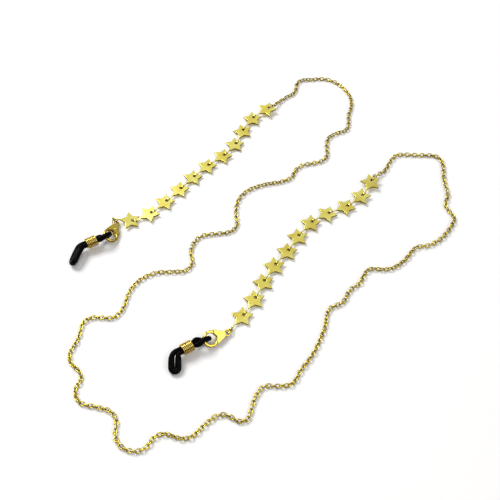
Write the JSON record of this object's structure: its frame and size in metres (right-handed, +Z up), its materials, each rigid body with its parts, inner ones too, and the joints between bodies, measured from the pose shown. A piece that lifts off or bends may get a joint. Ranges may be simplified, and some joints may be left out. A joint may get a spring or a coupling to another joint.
{
  "type": "eyeglasses chain strap",
  "caption": "Gold-plated eyeglasses chain strap with linked star plates, a fine cable chain, lobster clasps and black rubber temple loops with coil sleeves.",
  "frame": {"origin": "on the table, at the centre of the laid-out strap's footprint", "axes": "+X to the viewer's right, +Y away from the viewer, +Z up from the table"},
  "size_m": [0.1481, 0.1745, 0.0061],
  "materials": {
    "star_gold": "polished light gold plating",
    "chain_gold": "bright gold plating on drawn wire",
    "clasp_gold": "polished gold plating on a casting",
    "coil_gold": "gold-plated wound wire",
    "spring_steel": "fine wire",
    "black_rubber": "smooth, slightly glossy"
  },
  "bodies": {
    "chain_run_01": {"chain_run_01": "chain_gold"},
    "chain_run_02": {"chain_run_02": "chain_gold"},
    "chain_run_03": {"chain_run_03": "chain_gold"},
    "chain_run_04": {"chain_run_04": "chain_gold"},
    "chain_run_05": {"chain_run_05": "chain_gold"},
    "chain_run_06": {"chain_run_06": "chain_gold"},
    "chain_run_07": {"chain_run_07": "chain_gold"},
    "chain_run_08": {"chain_run_08": "chain_gold"},
    "chain_run_09": {"chain_run_09": "chain_gold"},
    "chain_run_10": {"chain_run_10": "chain_gold"},
    "chain_run_11": {"chain_run_11": "chain_gold"},
    "chain_run_12": {"chain_run_12": "chain_gold"},
    "chain_ring_left": {"chain_ring_left": "chain_gold"},
    "star_left_01": {"star_left_01": "star_gold"},
    "star_left_02": {"star_left_02": "star_gold"},
    "star_left_03": {"star_left_03": "star_gold"},
    "star_left_04": {"star_left_04": "star_gold"},
    "star_left_05": {"star_left_05": "star_gold"},
    "star_left_06": {"star_left_06": "star_gold"},
    "star_left_07": {"star_left_07": "star_gold"},
    "star_left_08": {"star_left_08": "star_gold"},
    "star_left_09": {"star_left_09": "star_gold"},
    "star_left_10": {"star_left_10": "star_gold"},
    "star_left_11": {"star_left_11": "star_gold"},
    "clasp_ring_left": {"clasp_ring_left": "chain_gold"},
    "clasp_left": {"clasp_body_left": "clasp_gold", "clasp_rivet_left": "clasp_gold", "clasp_spring_left": "spring_steel"},
    "clasp_lever_left": {"clasp_lever_left": "clasp_gold"},
    "temple_loop_left": {"temple_loop_left": "black_rubber"},
    "coil_sleeve_left": {"coil_sleeve_left": "coil_gold"},
    "chain_ring_right": {"chain_ring_right": "chain_gold"},
    "star_right_01": {"star_right_01": "star_gold"},
    "star_right_02": {"star_right_02": "star_gold"},
    "star_right_03": {"star_right_03": "star_gold"},
    "star_right_04": {"star_right_04": "star_gold"},
    "star_right_05": {"star_right_05": "star_gold"},
    "star_right_06": {"star_right_06": "star_gold"},
    "star_right_07": {"star_right_07": "star_gold"},
    "star_right_08": {"star_right_08": "star_gold"},
    "star_right_09": {"star_right_09": "star_gold"},
    "star_right_10": {"star_right_10": "star_gold"},
    "star_right_11": {"star_right_11": "star_gold"},
    "clasp_ring_right": {"clasp_ring_right": "chain_gold"},
    "clasp_right": {"clasp_body_right": "clasp_gold", "clasp_rivet_right": "clasp_gold", "clasp_spring_right": "spring_steel"},
    "clasp_lever_right": {"clasp_lever_right": "clasp_gold"},
    "temple_loop_right": {"temple_loop_right": "black_rubber"},
    "coil_sleeve_right": {"coil_sleeve_right": "coil_gold"}
  },
  "joints": [
    {"name": "chain_fold_01", "type": "hinge", "parent": "chain_run_02", "child": "chain_run_01", "pos_m": [0.03542, 0.07955, 0.00088], "axis": [0.8547, 0.5191, 0], "range_deg": [-28, 28]},
    {"name": "chain_fold_02", "type": "hinge", "parent": "chain_run_03", "child": "chain_run_02", "pos_m": [0.0254, 0.04177, 0.00088], "axis": [-0.9952, 0.0975, 0], "range_deg": [-28, 28]},
    {"name": "chain_fold_03", "type": "hinge", "parent": "chain_run_04", "child": "chain_run_03", "pos_m": [-0.01029, 0.01905, 0.00088], "axis": [0.8386, -0.5447, 0], "range_deg": [-28, 28]},
    {"name": "chain_fold_04", "type": "hinge", "parent": "chain_run_05", "child": "chain_run_04", "pos_m": [-0.02819, -0.01234, 0.00088], "axis": [-0.9989, -0.0476, 0], "range_deg": [-28, 28]},
    {"name": "chain_fold_05", "type": "hinge", "parent": "chain_run_06", "child": "chain_run_05", "pos_m": [-0.05917, -0.0368, 0.00088], "axis": [-0.0776, -0.997, 0], "range_deg": [-28, 28]},
    {"name": "chain_fold_06", "type": "hinge", "parent": "chain_run_06", "child": "chain_run_07", "pos_m": [-0.06211, -0.07022, 0.00088], "axis": [-0.3006, -0.9537, 0], "range_deg": [-28, 28]},
    {"name": "chain_fold_07", "type": "hinge", "parent": "chain_run_07", "child": "chain_run_08", "pos_m": [-0.02971, -0.082, 0.00088], "axis": [0.1857, 0.9826, 0], "range_deg": [-28, 28]},
    {"name": "chain_fold_08", "type": "hinge", "parent": "chain_run_08", "child": "chain_run_09", "pos_m": [0.00193, -0.06351, 0.00088], "axis": [-0.0262, -0.9997, 0], "range_deg": [-28, 28]},
    {"name": "chain_fold_09", "type": "hinge", "parent": "chain_run_09", "child": "chain_run_10", "pos_m": [0.02698, -0.03022, 0.00088], "axis": [-0.6951, 0.7189, 0], "range_deg": [-28, 28]},
    {"name": "chain_fold_10", "type": "hinge", "parent": "chain_run_10", "child": "chain_run_11", "pos_m": [0.05866, -0.00535, 0.00088], "axis": [0.1061, -0.9944, 0], "range_deg": [-28, 28]},
    {"name": "chain_fold_11", "type": "hinge", "parent": "chain_run_11", "child": "chain_run_12", "pos_m": [0.07215, 0.03127, 0.00088], "axis": [-0.9949, 0.1012, 0], "range_deg": [-28, 28]},
    {"name": "chain_ring_swing_left", "type": "hinge", "parent": "chain_run_01", "child": "chain_ring_left", "pos_m": [0.00305, 0.06792, 0.00199], "axis": [-0.5592, 0.829, 0], "range_deg": [-30, 30]},
    {"name": "star_swing_left_11", "type": "hinge", "parent": "chain_ring_left", "child": "star_left_11", "pos_m": [0.0023, 0.06742, 0.00199], "axis": [0.5068, -0.7514, 0.4226], "range_deg": [-30, 30]},
    {"name": "star_swing_left_10", "type": "hinge", "parent": "star_left_11", "child": "star_left_10", "pos_m": [-0.00469, 0.0627, 0.00136], "axis": [-0.8387, 0.5446, 0], "range_deg": [-60, 60]},
    {"name": "star_swing_left_09", "type": "hinge", "parent": "star_left_10", "child": "star_left_09", "pos_m": [-0.00918, 0.05579, 0.00107], "axis": [0.9397, -0.342, 0], "range_deg": [-60, 60]},
    {"name": "star_swing_left_08", "type": "hinge", "parent": "star_left_09", "child": "star_left_08", "pos_m": [-0.012, 0.04804, 0.00093], "axis": [-0.829, 0.5592, 0], "range_deg": [-60, 60]},
    {"name": "star_swing_left_07", "type": "hinge", "parent": "star_left_08", "child": "star_left_07", "pos_m": [-0.01661, 0.0412, 0.00121], "axis": [0.6428, -0.766, 0], "range_deg": [-60, 60]},
    {"name": "star_swing_left_06", "type": "hinge", "parent": "star_left_07", "child": "star_left_06", "pos_m": [-0.02293, 0.0359, 0.00107], "axis": [-0.7193, 0.6947, 0], "range_deg": [-60, 60]},
    {"name": "star_swing_left_05", "type": "hinge", "parent": "star_left_06", "child": "star_left_05", "pos_m": [-0.02866, 0.02997, 0.00093], "axis": [0.788, -0.6157, 0], "range_deg": [-60, 60]},
    {"name": "star_swing_left_04", "type": "hinge", "parent": "star_left_05", "child": "star_left_04", "pos_m": [-0.03373, 0.02347, 0.00121], "axis": [-0.766, 0.6428, 0], "range_deg": [-60, 60]},
    {"name": "star_swing_left_03", "type": "hinge", "parent": "star_left_04", "child": "star_left_03", "pos_m": [-0.03904, 0.01715, 0.00107], "axis": [0.7547, -0.6561, 0], "range_deg": [-60, 60]},
    {"name": "star_swing_left_02", "type": "hinge", "parent": "star_left_03", "child": "star_left_02", "pos_m": [-0.04445, 0.01093, 0.00121], "axis": [-0.5446, 0.8387, 0], "range_deg": [-60, 60]},
    {"name": "star_swing_left_01", "type": "hinge", "parent": "star_left_02", "child": "star_left_01", "pos_m": [-0.05137, 0.00643, 0.00107], "axis": [-0.0349, -0.9994, 0], "range_deg": [-60, 60]},
    {"name": "clasp_ring_swing_left", "type": "hinge", "parent": "star_left_01", "child": "clasp_ring_left", "pos_m": [-0.05955, 0.00672, 0.00207], "axis": [0.7314, 0.682, 0], "range_deg": [-18, 18]},
    {"name": "clasp_swing_left", "type": "hinge", "parent": "clasp_ring_left", "child": "clasp_left", "pos_m": [-0.05844, 0.0048, 0.00148], "axis": [-0.5177, -0.0195, -0.8554], "range_deg": [-38, 38]},
    {"name": "lever_open_left", "type": "hinge", "parent": "clasp_left", "child": "clasp_lever_left", "pos_m": [-0.05851, 0.00161, 0.00159], "axis": [-0.5177, -0.0195, -0.8554], "range_deg": [0, 9], "stiffness_Nm_per_rad": 0.002, "springref_deg": -17.19},
    {"name": "loop_swing_left", "type": "hinge", "parent": "clasp_left", "child": "temple_loop_left", "pos_m": [-0.06166, -0.0027, 0.0036], "axis": [0.4653, -0.8454, -0.2623], "range_deg": [-50, 50]},
    {"name": "coil_slide_left", "type": "slide", "parent": "temple_loop_left", "child": "coil_sleeve_left", "axis": [-0.8898, -0.4534, -0.0523], "range_m": [-0.0002, 0.001]},
    {"name": "chain_ring_swing_right", "type": "hinge", "parent": "chain_run_12", "child": "chain_ring_right", "pos_m": [0.04311, 0.02794, 0.00207], "axis": [-0.8829, 0.4695, 0], "range_deg": [-30, 30]},
    {"name": "star_swing_right_11", "type": "hinge", "parent": "chain_ring_right", "child": "star_right_11", "pos_m": [0.04268, 0.02715, 0.00207], "axis": [-0.8002, 0.4255, 0.4226], "range_deg": [-30, 30]},
    {"name": "star_swing_right_10", "type": "hinge", "parent": "star_right_11", "child": "star_right_10", "pos_m": [0.03873, 0.0197, 0.00143], "axis": [-0.6691, 0.7431, 0], "range_deg": [-60, 60]},
    {"name": "star_swing_right_09", "type": "hinge", "parent": "star_right_10", "child": "star_right_09", "pos_m": [0.0326, 0.01419, 0.00114], "axis": [0.4067, -0.9135, 0], "range_deg": [-60, 60]},
    {"name": "star_swing_right_08", "type": "hinge", "parent": "star_right_09", "child": "star_right_08", "pos_m": [0.02506, 0.01083, 0.001], "axis": [-0.515, 0.8572, 0], "range_deg": [-60, 60]},
    {"name": "star_swing_right_07", "type": "hinge", "parent": "star_right_08", "child": "star_right_07", "pos_m": [0.018, 0.00659, 0.00129], "axis": [0.7547, -0.6561, 0], "range_deg": [-60, 60]},
    {"name": "star_swing_right_06", "type": "hinge", "parent": "star_right_07", "child": "star_right_06", "pos_m": [0.01259, 0.00036, 0.001], "axis": [-0.866, 0.5, 0], "range_deg": [-60, 60]},
    {"name": "star_swing_right_05", "type": "hinge", "parent": "star_right_06", "child": "star_right_05", "pos_m": [0.00846, -0.00678, 0.00114], "axis": [0.788, -0.6157, 0], "range_deg": [-60, 60]},
    {"name": "star_swing_right_04", "type": "hinge", "parent": "star_right_05", "child": "star_right_04", "pos_m": [0.00338, -0.01328, 0.00129], "axis": [-0.848, 0.5299, 0], "range_deg": [-60, 60]},
    {"name": "star_swing_right_03", "type": "hinge", "parent": "star_right_04", "child": "star_right_03", "pos_m": [-0.00099, -0.02027, 0.001], "axis": [0.9205, -0.3907, 0], "range_deg": [-60, 60]},
    {"name": "star_swing_right_02", "type": "hinge", "parent": "star_right_03", "child": "star_right_02", "pos_m": [-0.00421, -0.02786, 0.00129], "axis": [-0.866, 0.5, 0], "range_deg": [-60, 60]},
    {"name": "star_swing_right_01", "type": "hinge", "parent": "star_right_02", "child": "star_right_01", "pos_m": [-0.00833, -0.035, 0.001], "axis": [0.788, -0.6157, 0], "range_deg": [-60, 60]},
    {"name": "clasp_ring_swing_right", "type": "hinge", "parent": "star_right_01", "child": "clasp_ring_right", "pos_m": [-0.01341, -0.0415, 0.001], "axis": [-0.788, 0.6157, 0], "range_deg": [-50, 50]},
    {"name": "clasp_swing_right", "type": "hinge", "parent": "clasp_ring_right", "child": "clasp_right", "pos_m": [-0.0148, -0.04329, 0.0014], "axis": [0.3236, -0.3066, 0.8951], "range_deg": [-38, 38]},
    {"name": "lever_open_right", "type": "hinge", "parent": "clasp_right", "child": "clasp_lever_right", "pos_m": [-0.01778, -0.0441, 0.0022], "axis": [0.3236, -0.3066, 0.8951], "range_deg": [0, 9], "stiffness_Nm_per_rad": 0.002, "springref_deg": -17.19},
    {"name": "loop_swing_right", "type": "hinge", "parent": "clasp_right", "child": "temple_loop_right", "pos_m": [-0.02272, -0.04692, 0.00302], "axis": [0.1615, -0.9143, -0.3715], "range_deg": [-50, 50]},
    {"name": "coil_slide_right", "type": "slide", "parent": "temple_loop_right", "child": "coil_sleeve_right", "axis": [-0.8572, -0.515, 0], "range_m": [-0.0002, 0.001]}
  ]
}
